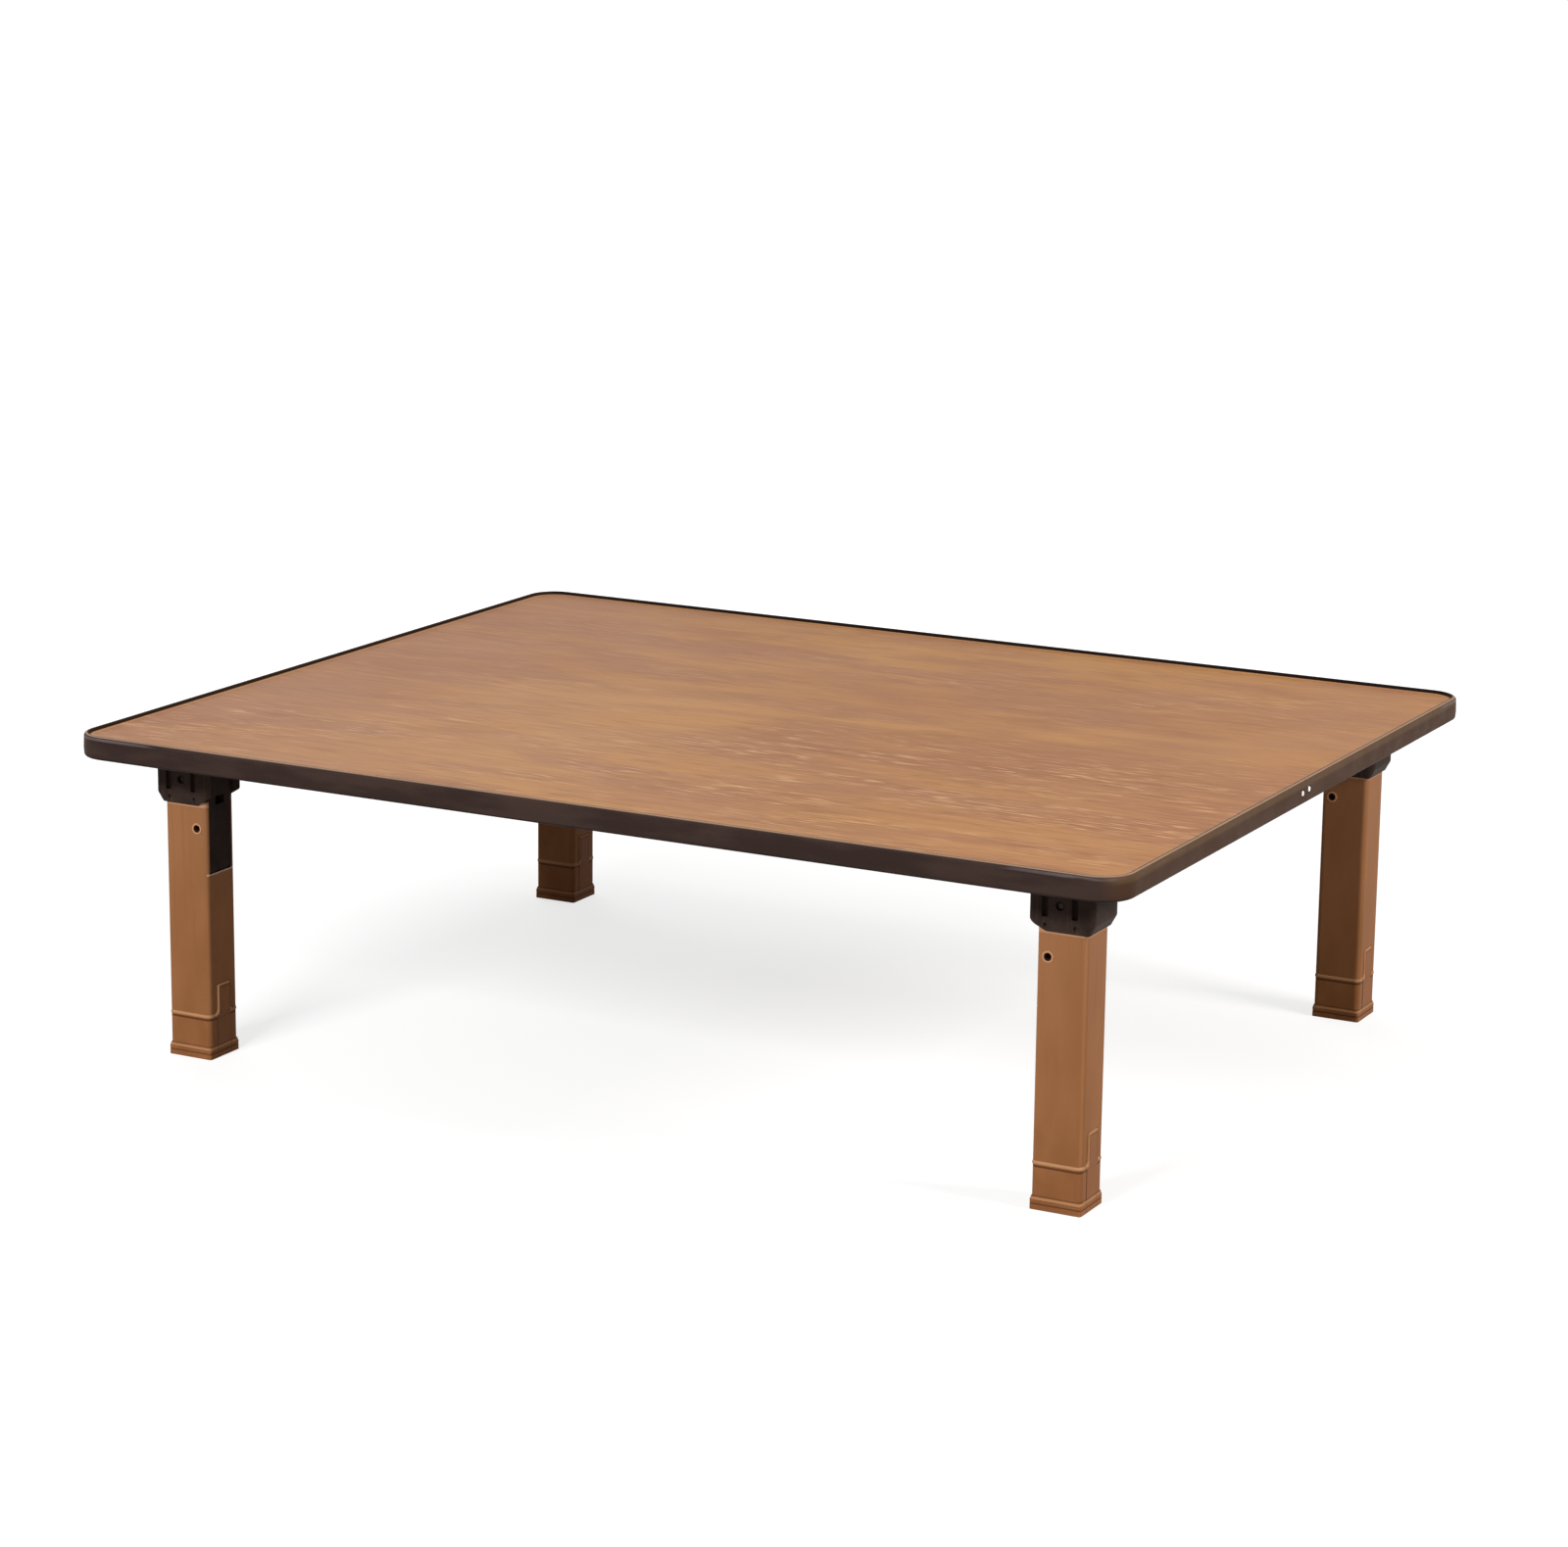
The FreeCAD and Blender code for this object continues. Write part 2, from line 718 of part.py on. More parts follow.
def make_lever_spring():
    """A coil along X between its seat and the back of the lower arm."""
    start = spring_seat_x + spring_end_gap + spring_wire_radius
    finish = lever_back_x - spring_end_gap - spring_wire_radius
    pitch = (finish - start) / spring_turns
    path = Part.makeHelix(pitch, finish - start, spring_radius)
    ring = Part.makeCircle(spring_wire_radius, vec(spring_radius, 0, 0), vec(0, 1, 0))
    coil = Part.Wire(path.Edges).makePipeShell([Part.Wire([ring])], True, True)
    coil.rotate(vec(0, 0, 0), vec(0, 1, 0), quarter_turn)
    coil.translate(vec(start, 0, spring_z))
    return coil


# Foot


def boot_flange():
    """The shoe on the floor: a bevelled top edge and a fine groove round it."""
    half_x = half_depth + flange_proud
    half_y = half_width + flange_proud
    knee = flange_height - flange_bevel_height
    low = plate(half_x, half_y, flange_corner, 0, knee)
    high = taper(half_x - flange_proud, half_y - flange_proud, flange_corner, flange_proud,
                 flange_height, knee)
    groove_top = flange_groove_level + flange_groove_height
    ring = block(-leg_depth, leg_depth, -leg_width, leg_width, flange_groove_level, groove_top)
    inner = plate(half_x - flange_groove_depth, half_y - flange_groove_depth, flange_corner,
                  flange_groove_level, groove_top)
    return joined([low, high]).cut(ring.cut(inner))


def boot_bead():
    """A low bead round the leg where the tube ends."""
    low = boot_top - bead_height
    parts = [
        taper(half_depth, half_width, leg_corner, bead_proud, low, low + bead_slope),
        plate(half_depth + bead_proud, half_width + bead_proud, leg_corner + bead_proud,
              low + bead_slope, boot_top - bead_slope),
        taper(half_depth, half_width, leg_corner, bead_proud, boot_top, boot_top - bead_slope),
    ]
    return joined(parts)


def boot_strips():
    """The strip on each X face: a shallow run up from the shoe, and a bolder one with
    bevelled edges in the notch of the tube."""
    face = strip_face(0, boot_top - bead_slope)
    reach = half_depth + strip_proud
    half = strip_width / 2
    strips = []
    for side in (-1, 1):
        upper = face.copy()
        upper.translate(vec(side * (reach - strip_depth), 0, 0))
        upper = upper.extrude(vec(side * strip_depth, 0, 0))
        rim = [e for e in upper.Edges
               if abs(e.CenterOfMass.x - side * reach) < fixed_clearance
               and e.CenterOfMass.z > boot_top]
        strips.append(upper.makeChamfer(strip_edge_bevel, rim))
        inner = side * (reach - strip_depth)
        outer = side * (half_depth + bead_proud / 2)
        strips.append(block(min(inner, outer), max(inner, outer), -half, half,
                            flange_height - flange_bevel_height, boot_top))
    return strips


def make_foot_boot():
    body = plate(half_depth, half_width, leg_corner, flange_height - flange_bevel_height, boot_top)
    spigot = plate(plug_half_x, plug_half_y, plug_corner, boot_floor, boot_top + spigot_height)
    whole = joined([boot_flange(), body, boot_bead(), spigot] + boot_strips())
    hollow = plate(plug_half_x - spigot_wall, plug_half_y - spigot_wall, plug_corner,
                   boot_floor, boot_top + spigot_height + overrun)
    return whole.cut(hollow)


def make_top():
    save("core_board", make_core_board())
    save("top_laminate", make_top_laminate())
    save("balance_sheet", make_balance_sheet())
    save("edge_moulding", make_edge_moulding())
    save("seam_nails", make_seam_nails())


def make_legs():
    pieces = {
        "leg_bracket": make_leg_bracket(),
        "pivot_pin": make_pivot_pin(),
        "bracket_screws": make_bracket_screws(),
        "leg_tube": make_leg_tube(),
        "leg_insert": make_leg_insert(),
        "lock_lever": make_lock_lever(),
        "lever_rivet": make_lever_rivet(),
        "lever_spring": make_lever_spring(),
        "foot_boot": make_foot_boot(),
    }
    for corner, side_x, side_y in corners:
        for piece, shape in pieces.items():
            save(corner + "_" + piece, placed(shape, side_x, side_y))


os.makedirs("parts", exist_ok=True)
make_top()
make_legs()
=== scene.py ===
import functools
import math
from collections import namedtuple

import bpy
from mathutils import Matrix, Vector


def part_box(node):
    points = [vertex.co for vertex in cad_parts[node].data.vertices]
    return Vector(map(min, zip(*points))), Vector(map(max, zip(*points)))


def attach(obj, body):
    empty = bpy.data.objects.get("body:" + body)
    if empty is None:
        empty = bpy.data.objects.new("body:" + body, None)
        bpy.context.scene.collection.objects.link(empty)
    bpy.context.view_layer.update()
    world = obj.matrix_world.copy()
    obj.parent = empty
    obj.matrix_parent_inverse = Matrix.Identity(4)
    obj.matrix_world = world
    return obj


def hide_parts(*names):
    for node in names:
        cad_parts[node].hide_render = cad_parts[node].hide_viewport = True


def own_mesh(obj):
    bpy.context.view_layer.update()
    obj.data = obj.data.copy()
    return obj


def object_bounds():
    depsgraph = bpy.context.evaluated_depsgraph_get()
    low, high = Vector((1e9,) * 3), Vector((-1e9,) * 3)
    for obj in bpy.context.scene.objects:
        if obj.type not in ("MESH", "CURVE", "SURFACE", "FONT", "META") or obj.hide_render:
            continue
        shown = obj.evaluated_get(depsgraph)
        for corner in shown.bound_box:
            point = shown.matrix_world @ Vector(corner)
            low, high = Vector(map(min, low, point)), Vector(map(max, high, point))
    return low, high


# Folding low table. All lengths are in metres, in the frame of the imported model:
# origin on the floor under the middle of the top, +X along the long side, +Z up.

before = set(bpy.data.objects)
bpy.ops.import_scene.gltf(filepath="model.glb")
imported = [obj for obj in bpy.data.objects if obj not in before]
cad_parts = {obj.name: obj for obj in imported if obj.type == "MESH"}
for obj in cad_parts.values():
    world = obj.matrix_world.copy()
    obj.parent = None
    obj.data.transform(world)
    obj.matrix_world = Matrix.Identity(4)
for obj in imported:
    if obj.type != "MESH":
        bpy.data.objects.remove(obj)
cad_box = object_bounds()

CORNERS = ("front_left", "front_right", "back_left", "back_right")
MILLIMETRE = 0.001
WHITE = (1.0, 1.0, 1.0)
OPAQUE = 1.0

# The photograph's view, with the lens and the sensor in millimetres
CAMERA_PLACE = Vector((1.72083, -3.258942, 1.108525))
CAMERA_YAW = math.radians(27.8962)
CAMERA_PITCH = math.radians(-13.2088)
CAMERA_ROLL = math.radians(0.6631)
CAMERA_LENS = 96.0479
SENSOR_WIDTH = 36.0

# Noise: its features for each metre along X, Y and Z, how many finer layers it carries, and
# how strong each of these is
Noise = namedtuple("Noise", "counts detail roughness", defaults=(2.0, 0.5))

# A smooth change from start to finish while what drives it goes from low to high
Ease = namedtuple("Ease", "low high start finish", defaults=(0.0, 1.0))

# A tone laid over a material. Its driver is a mask, or else a noise or a place that goes from
# start, where the tone doesn't show, to full, where it shows by its share.
Layer = namedtuple("Layer", "driver colour share start full", defaults=(None, None))

# A surface: the ends of its roughness, the depth of its relief, how much smoother it is on its
# worn places, which also carry a painted highlight, and the shader's specular level and metallic
# value
Surface = namedtuple("Surface", "smooth rough relief rubbed specular metallic",
                     defaults=(0.0, 0.0, 0.5, 0.0))

# Values of noise. It lies round the middle, mostly between the least and the most, and has more
# contrast where only what lies between low and high is spread.
NOISE_LEAST = 0.3
NOISE_LOW = 0.35
NOISE_MIDDLE = 0.5
NOISE_HIGH = 0.65
NOISE_MOST = 0.7


def srgb(red, green, blue):
    """A colour written as it looks on a screen, 0 to 255, as linear red, green, blue, alpha,
    by the sRGB curve."""
    def linear(value):
        share = value / 255
        return share / 12.92 if share <= 0.04045 else ((share + 0.055) / 1.055) ** 2.4
    return (linear(red), linear(green), linear(blue), OPAQUE)


class Shader:
    """A procedural material. The values that its methods take are numbers, colours or the
    output sockets that other methods gave."""

    def __init__(self, name):
        self.material = bpy.data.materials.new(name)
        self.material.use_nodes = True
        self.tree = self.material.node_tree
        self.principled = self.tree.nodes["Principled BSDF"]
        places = self.add("ShaderNodeTexCoord")
        self.place = places.outputs["Object"]
        self.x, self.y, self.z = self.split(self.place)
        self.facing = places.outputs["Normal"]

    def add(self, kind, **settings):
        node = self.tree.nodes.new(kind)
        for name, value in settings.items():
            setattr(node, name, value)
        return node

    def feed(self, socket, value):
        if isinstance(value, bpy.types.NodeSocket):
            self.tree.links.new(value, socket)
        else:
            socket.default_value = value

    def math(self, operation, first, second=0.0):
        node = self.add("ShaderNodeMath", operation=operation)
        for socket, value in zip(node.inputs, (first, second)):
            self.feed(socket, value)
        return node.outputs[0]

    def plus(self, first, second):
        return self.math("ADD", first, second)

    def minus(self, first, second):
        return self.math("SUBTRACT", first, second)

    def times(self, *values):
        return functools.reduce(functools.partial(self.math, "MULTIPLY"), values)

    def most(self, *values):
        return functools.reduce(functools.partial(self.math, "MAXIMUM"), values)

    def absolute(self, value):
        return self.math("ABSOLUTE", value)

    def split(self, vector):
        node = self.add("ShaderNodeSeparateXYZ")
        self.feed(node.inputs[0], vector)
        return node.outputs

    def point(self, x, y, z):
        node = self.add("ShaderNodeCombineXYZ")
        for socket, value in zip(node.inputs, (x, y, z)):
            self.feed(socket, value)
        return node.outputs[0]

    def length(self, vector):
        node = self.add("ShaderNodeVectorMath", operation="LENGTH")
        self.feed(node.inputs[0], vector)
        return node.outputs["Value"]

    def away(self, value, place):
        """How much further from the table's middle a value is than a place, on either side."""
        return self.minus(self.absolute(value), abs(place))

    def noises(self, table, place=None):
        """The noises of a table, each under its name."""
        return {name: self.noise(noise, place) for name, noise in table.items()}

    def noise(self, noise, place=None):
        mapping = self.add("ShaderNodeMapping")
        self.feed(mapping.inputs["Vector"], self.place if place is None else place)
        mapping.inputs["Scale"].default_value = noise.counts
        node = self.add("ShaderNodeTexNoise")
        self.feed(node.inputs["Vector"], mapping.outputs[0])
        node.inputs["Scale"].default_value = 1.0
        node.inputs["Detail"].default_value = noise.detail
        node.inputs["Roughness"].default_value = noise.roughness
        return node.outputs["Fac"]

    def ease(self, value, low, high, start=0.0, finish=1.0):
        """Goes smoothly from start to finish as the value goes from low to high."""
        node = self.add("ShaderNodeMapRange", interpolation_type="SMOOTHSTEP")
        for socket, number in zip(node.inputs, (value, low, high, start, finish)):
            self.feed(socket, number)
        return node.outputs[0]

    def fall(self, value, low, high):
        """1 below the low value and 0 above the high one."""
        return self.ease(value, low, high, 1.0, 0.0)

    def band(self, value, low, high, soft):
        """1 between two values and 0 beyond the given width outside them."""
        return self.times(self.ease(value, low - soft, low), self.fall(value, high, high + soft))

    def mix(self, first, second, share):
        node = self.add("ShaderNodeMix", data_type="RGBA")
        self.feed(node.inputs["Factor"], share)
        self.feed(node.inputs["A"], first)
        self.feed(node.inputs["B"], second)
        return node.outputs["Result"]

    def blend(self, tones, noise):
        """A mottle of two tones."""
        return self.mix(*tones, self.ease(noise, NOISE_LOW, NOISE_HIGH))

    def lay(self, colour, layers, drivers, masks=None):
        """Lays the layers over a colour one by one. A mask under the name of a driver holds
        back what that driver does where the mask is below 1."""
        for layer in layers:
            driver = drivers[layer.driver]
            if layer.start is None:
                amount = self.times(driver, layer.share)
            else:
                amount = self.ease(driver, layer.start, layer.full, 0.0, layer.share)
            if masks and layer.driver in masks:
                amount = self.times(amount, masks[layer.driver])
            colour = self.mix(colour, layer.colour, amount)
        return colour

    def bump(self, height, depth):
        """Raises the surface by up to the given depth where the height is 1."""
        node = self.add("ShaderNodeBump")
        self.feed(node.inputs["Height"], height)
        node.inputs["Distance"].default_value = depth
        return node.outputs[0]

    def finish(self, surface, colour, marks, height=None, rubbed=None):
        """Completes the material. The marks are the noise that its roughness follows, and the last
        mask says where it is smoother: worn places that also carry a painted highlight."""
        roughness = self.ease(marks, NOISE_LEAST, NOISE_MOST, surface.smooth, surface.rough)
        if rubbed is not None:
            roughness = self.minus(roughness, self.times(rubbed, surface.rubbed))
        if height is not None:
            self.feed(self.principled.inputs["Normal"], self.bump(height, surface.relief))
        self.feed(self.principled.inputs["Base Color"], colour)
        self.feed(self.principled.inputs["Roughness"], roughness)
        self.principled.inputs["Metallic"].default_value = surface.metallic
        self.principled.inputs["Specular IOR Level"].default_value = surface.specular
        return self.material


# Wood of the top. It starts at the moulding's lip, with a painted highlight in a pale strip beside
# it, and it turns pinker towards the left and the right end. The grain's noises sway, and the
# zones in which it is clear gain by their rises for each metre to the right and to the front.

CORNER_RADIUS = 30.0 * MILLIMETRE
LIP_WIDTH = 4.8 * MILLIMETRE
# Painted highlight: a pale strip of the top along the moulding's lip
HIGHLIGHT_STRIP = 3.0 * MILLIMETRE
HIGHLIGHT_FADE = 2.0 * MILLIMETRE
HIGHLIGHT_SHARE = 0.42
GRAIN_SWAY = 60.0 * MILLIMETRE
LEFT_PINK_START = -100.0 * MILLIMETRE
LEFT_PINK_FULL = -450.0 * MILLIMETRE
RIGHT_PINK_START = 150.0 * MILLIMETRE
RIGHT_PINK_FULL = 450.0 * MILLIMETRE
ZONE_RISE_RIGHT = 0.2
ZONE_RISE_FRONT = 0.7
STREAK_HEIGHT = 0.6
PORE_DEPTH = 0.5
WOOD_RELIEF = 0.05 * MILLIMETRE
SWAY_NOISE = Noise((1.1, 3.0, 1.0))
WOOD_GRAIN = {
    "bands": Noise((6.0, 26.0, 1.0), detail=3.0),
    "patches": Noise((5.0, 12.0, 1.0)),
    "veins": Noise((10.0, 70.0, 1.0), detail=4.0, roughness=0.6),
    "streaks": Noise((24.0, 235.0, 1.0), detail=3.0, roughness=0.6),
    "ticks": Noise((38.0, 330.0, 1.0), detail=1.0),
    "threads": Noise((14.0, 520.0, 1.0), detail=4.0, roughness=0.65),
    "pore_specks": Noise((24.0, 1000.0, 1.0)),
}
WOOD_FIELDS = {
    "clouds": Noise((2.4, 5.5, 1.0)),
    "clusters": Noise((8.0, 26.0, 1.0)),
    "zones": Noise((1.6, 3.4, 1.0), detail=1.0),
    "smears": Noise((6.0, 9.0, 1.0), detail=3.0),
}
WOOD_BANDS = (srgb(168, 117, 60), srgb(149, 99, 56))
BAND_EDGE = Ease(0.38, 0.62)
CLUSTER_EDGE = Ease(0.44, 0.60)
PORE_EDGE = Ease(0.56, 0.70)
CLEAR_ZONE = Ease(0.44, 0.76, start=0.30)
WOOD_LAYERS = (
    Layer("clouds", srgb(145, 95, 60), share=0.70, start=0.50, full=0.70),
    Layer("clouds", srgb(167, 117, 68), share=0.50, start=0.44, full=0.28),
    Layer("x", srgb(146, 96, 66), share=0.60, start=LEFT_PINK_START, full=LEFT_PINK_FULL),
    Layer("x", srgb(163, 112, 80), share=0.32, start=RIGHT_PINK_START, full=RIGHT_PINK_FULL),
    Layer("patches", srgb(147, 97, 66), share=0.40, start=0.50, full=0.68),
    Layer("patches", srgb(169, 120, 70), share=0.35, start=0.46, full=0.30),
    Layer("veins", srgb(138, 88, 40), share=0.58, start=0.54, full=0.74),
    Layer("veins", srgb(174, 124, 70), share=0.40, start=0.46, full=0.28),
    Layer("threads", srgb(134, 84, 42), share=0.45, start=0.52, full=0.70),
    Layer("threads", srgb(172, 122, 74), share=0.30, start=0.48, full=0.32),
    Layer("streaks", srgb(124, 74, 26), share=0.60, start=0.54, full=0.74),
    Layer("streaks", srgb(184, 136, 88), share=0.55, start=0.46, full=0.28),
    Layer("ticks", srgb(203, 158, 112), share=0.62, start=0.54, full=0.70),
    Layer("ticks", srgb(118, 70, 32), share=0.34, start=0.48, full=0.32),
    Layer("pores", srgb(110, 66, 34), share=0.35),
    # Painted highlight along the moulding's lip
    Layer("rim", srgb(206, 160, 124), share=HIGHLIGHT_SHARE),
)
WOOD_SURFACE = Surface(smooth=0.39, rough=0.43, relief=WOOD_RELIEF, specular=0.05)


def rim_distance(s):
    """How far in from the table's outline a point of the top lies."""
    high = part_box("edge_moulding")[1]
    across = s.most(s.away(s.x, high.x - CORNER_RADIUS), 0.0)
    along = s.most(s.away(s.y, high.y - CORNER_RADIUS), 0.0)
    return s.minus(CORNER_RADIUS, s.length(s.point(across, along, 0.0)))


def wood_laminate():
    """Printed grain along X under a satin film: soft golden and pinkish bands, with short fine
    ticks in clusters that show more in some zones and towards the front."""
    s = Shader("wood_laminate")
    drift = s.times(s.minus(s.noise(SWAY_NOISE), NOISE_MIDDLE), GRAIN_SWAY)
    wandering = s.point(s.x, s.plus(s.y, drift), s.z)
    drivers = s.noises(WOOD_GRAIN, wandering) | s.noises(WOOD_FIELDS)
    rises = s.minus(s.times(s.x, ZONE_RISE_RIGHT), s.times(s.y, ZONE_RISE_FRONT))
    clear = s.ease(s.plus(drivers["zones"], rises), *CLEAR_ZONE)
    marked = s.times(s.ease(drivers["clusters"], *CLUSTER_EDGE), clear)
    highlight_edge = LIP_WIDTH + HIGHLIGHT_STRIP
    drivers["x"] = s.x
    drivers["pores"] = s.ease(drivers["pore_specks"], *PORE_EDGE)
    # Painted highlight along the moulding's lip
    drivers["rim"] = s.fall(rim_distance(s), highlight_edge, highlight_edge + HIGHLIGHT_FADE)

    colour = s.mix(*WOOD_BANDS, s.ease(drivers["bands"], *BAND_EDGE))
    colour = s.lay(colour, WOOD_LAYERS, drivers, {"streaks": clear, "ticks": marked})
    raised = s.times(drivers["streaks"], STREAK_HEIGHT)
    height = s.minus(raised, s.times(drivers["pores"], PORE_DEPTH))
    return s.finish(WOOD_SURFACE, colour, drivers["smears"], height)


# Edge moulding. Its forms and its painted light and shade are measured down from its top or up
# from its foot, and its rubbed places, which carry a painted grey highlight, from the table's
# square corner. Outward places are distances from the table's middle along the direction that a
# face looks in, and are below 0 on the inner lip.

CREST_HIGHLIGHT_FULL = 0.3 * MILLIMETRE
CREST_HIGHLIGHT_FADE = 0.9 * MILLIMETRE
SHOULDER_TOP = 1.6 * MILLIMETRE
SHOULDER_FOOT = 3.2 * MILLIMETRE
SHOULDER_SOFT = 0.6 * MILLIMETRE
UPPER_HIGHLIGHT_FULL = 4.0 * MILLIMETRE
UPPER_HIGHLIGHT_FADE = 8.0 * MILLIMETRE
ROOT_SHADE_FULL = 0.4 * MILLIMETRE
ROOT_SHADE_FADE = 2.6 * MILLIMETRE
RUB_HIGHLIGHT_FULL = 30.0 * MILLIMETRE
RUB_HIGHLIGHT_FADE = 150.0 * MILLIMETRE
OUTER_FULL = 80.0 * MILLIMETRE
LIP_SHADE_START = 20.0 * MILLIMETRE
LIP_SHADE_FULL = -60.0 * MILLIMETRE
SIDE_SHEEN_TURN = Ease(0.3, 0.9)
RUB_HIGHLIGHT_EDGE = Ease(0.36, 0.60)
GRAIN_HEIGHT = 0.8
FLOW_HEIGHT = 0.25
EDGE_RELIEF = 0.05 * MILLIMETRE
EDGE_NOISES = {
    "grain": Noise((1500.0, 1500.0, 1500.0), detail=3.0, roughness=0.65),
    "flow": Noise((9.0, 9.0, 900.0)),
    "tone": Noise((14.0, 14.0, 60.0), detail=3.0),
    "rubs": Noise((26.0, 26.0, 200.0)),
    "smears": Noise((40.0, 40.0, 40.0)),
}
EDGE_TONES = (srgb(51, 39, 36), srgb(63, 49, 44))
EDGE_LAYERS = (
    # Painted sheen on the faces turned along X, and a painted highlight on their upper part
    Layer("side", srgb(84, 58, 40), share=0.55),
    Layer("side_top_highlight", srgb(120, 96, 70), share=0.35),
    Layer("grain", srgb(78, 59, 49), share=0.50, start=0.52, full=0.75),
    # Painted shade along the moulding's foot
    Layer("root", srgb(22, 15, 14), share=0.85),
    # Painted shade on the inner lip
    Layer("outward", srgb(22, 15, 14), share=0.80, start=LIP_SHADE_START, full=LIP_SHADE_FULL),
    # Painted grey highlight on the worn shoulder near the corners
    Layer("rubbed", srgb(128, 116, 118), share=0.45),
    # Painted highlight along the crest
    Layer("crest", srgb(184, 150, 124), share=0.60),
)
EDGE_SURFACE = Surface(smooth=0.38, rough=0.50, relief=EDGE_RELIEF, rubbed=0.12, specular=0.02)


def edge_plastic():
    """Soft dark brown plastic with a fine matt grain, and painted light and shade: a painted
    highlight along the lip's top, a painted sheen on the sides along X, lighter at their top,
    painted shade along the foot and on the inner lip, and painted grey highlights on the smoother
    worn shoulder near the corners of the table."""
    s = Shader("edge_plastic")
    low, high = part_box("edge_moulding")
    facing_x, facing_y, _ = s.split(s.facing)
    drivers = s.noises(EDGE_NOISES)
    outward = s.plus(s.times(facing_x, s.x), s.times(facing_y, s.y))
    outer = s.ease(outward, 0.0, OUTER_FULL)
    # Painted sheen on the faces turned along X, lighter towards their top
    side = s.ease(s.absolute(facing_x), *SIDE_SHEEN_TURN)
    # Painted highlight along the crest, on the outer side only
    crest = s.times(s.ease(s.z, high.z - CREST_HIGHLIGHT_FADE, high.z - CREST_HIGHLIGHT_FULL), outer)
    upper_highlight = s.ease(s.z, high.z - UPPER_HIGHLIGHT_FADE, high.z - UPPER_HIGHLIGHT_FULL)
    shoulder = s.band(s.z, high.z - SHOULDER_FOOT, high.z - SHOULDER_TOP, SHOULDER_SOFT)
    corner = s.length(s.point(s.away(s.x, high.x), s.away(s.y, high.y), 0.0))
    near = s.fall(corner, RUB_HIGHLIGHT_FULL, RUB_HIGHLIGHT_FADE)
    # Worn, smoother patches of the shoulder that carry a painted grey highlight
    rubbed = s.times(shoulder, outer, near, s.ease(drivers["rubs"], *RUB_HIGHLIGHT_EDGE))
    drivers["side"] = side
    drivers["side_top_highlight"] = s.times(side, upper_highlight)
    # Painted shade along the moulding's foot
    drivers["root"] = s.fall(s.z, low.z + ROOT_SHADE_FULL, low.z + ROOT_SHADE_FADE)
    # The painted shade on the inner lip follows this place
    drivers["outward"] = outward
    drivers["rubbed"] = rubbed
    drivers["crest"] = crest

    colour = s.lay(s.blend(EDGE_TONES, drivers["tone"]), EDGE_LAYERS, drivers)
    grain = s.times(drivers["grain"], GRAIN_HEIGHT)
    height = s.plus(grain, s.times(drivers["flow"], FLOW_HEIGHT))
    return s.finish(EDGE_SURFACE, colour, drivers["smears"], height, s.most(crest, rubbed))


# Other pieces of the top

PAPER_RELIEF = 0.04 * MILLIMETRE
PAPER_NOISES = {
    "grain": Noise((6.0, 190.0, 1.0), detail=4.0, roughness=0.6),
    "cloud": Noise((5.0, 8.0, 1.0), detail=3.0),
    "fibre": Noise((900.0, 900.0, 900.0)),
}
PAPER_TONES = (srgb(96, 68, 50), srgb(118, 86, 64))
PAPER_LAYERS = (Layer("cloud", srgb(86, 60, 46), share=0.60, start=0.45, full=0.70),)
PAPER_SURFACE = Surface(smooth=0.62, rough=0.72, relief=PAPER_RELIEF, specular=0.2)

BOARD_RELIEF = 0.15 * MILLIMETRE
BOARD_NOISES = {
    "fibre": Noise((260.0, 260.0, 900.0), detail=5.0, roughness=0.7),
    "flecks": Noise((700.0, 700.0, 1800.0), detail=1.0),
}
BOARD_TONES = (srgb(150, 116, 80), srgb(186, 152, 112))
BOARD_LAYERS = (Layer("flecks", srgb(104, 76, 50), share=0.70, start=0.62, full=0.72),)
BOARD_SURFACE = Surface(smooth=0.75, rough=0.90, relief=BOARD_RELIEF, specular=0.2)

METAL_RELIEF = 0.01 * MILLIMETRE
NAIL_MARKS = Noise((1200.0, 2600.0, 2600.0), detail=3.0)
NAIL_TONES = (srgb(214, 204, 200), srgb(240, 232, 228))
NAIL_SURFACE = Surface(smooth=0.16, rough=0.30, relief=METAL_RELIEF, metallic=1.0)


def balance_paper():
    """Dark matt backing sheet with a faint printed grain."""
    s = Shader("balance_paper")
    drivers = s.noises(PAPER_NOISES)
    colour = s.lay(s.blend(PAPER_TONES, drivers["grain"]), PAPER_LAYERS, drivers)
    return s.finish(PAPER_SURFACE, colour, drivers["cloud"], drivers["fibre"])


def board_core():
    """Raw fibreboard."""
    s = Shader("board_core")
    drivers = s.noises(BOARD_NOISES)
    colour = s.lay(s.blend(BOARD_TONES, drivers["fibre"]), BOARD_LAYERS, drivers)
    return s.finish(BOARD_SURFACE, colour, drivers["fibre"], drivers["fibre"])


def nail_metal():
    """Small polished heads with light handling marks."""
    s = Shader("nail_metal")
    marks = s.noise(NAIL_MARKS)
    return s.finish(NAIL_SURFACE, s.blend(NAIL_TONES, marks), marks, marks)


# Legs. The tube goes up into its bracket by the tuck, and its sill lies below the lever's end
# by the gap. Wear with a painted highlight on the rounded upright edges is measured in from where
# the flats would meet, the painted highlight line at the head down from the bracket, the one at
# the sill from the sill, and the painted shade in the rivet's mouth from its axis.

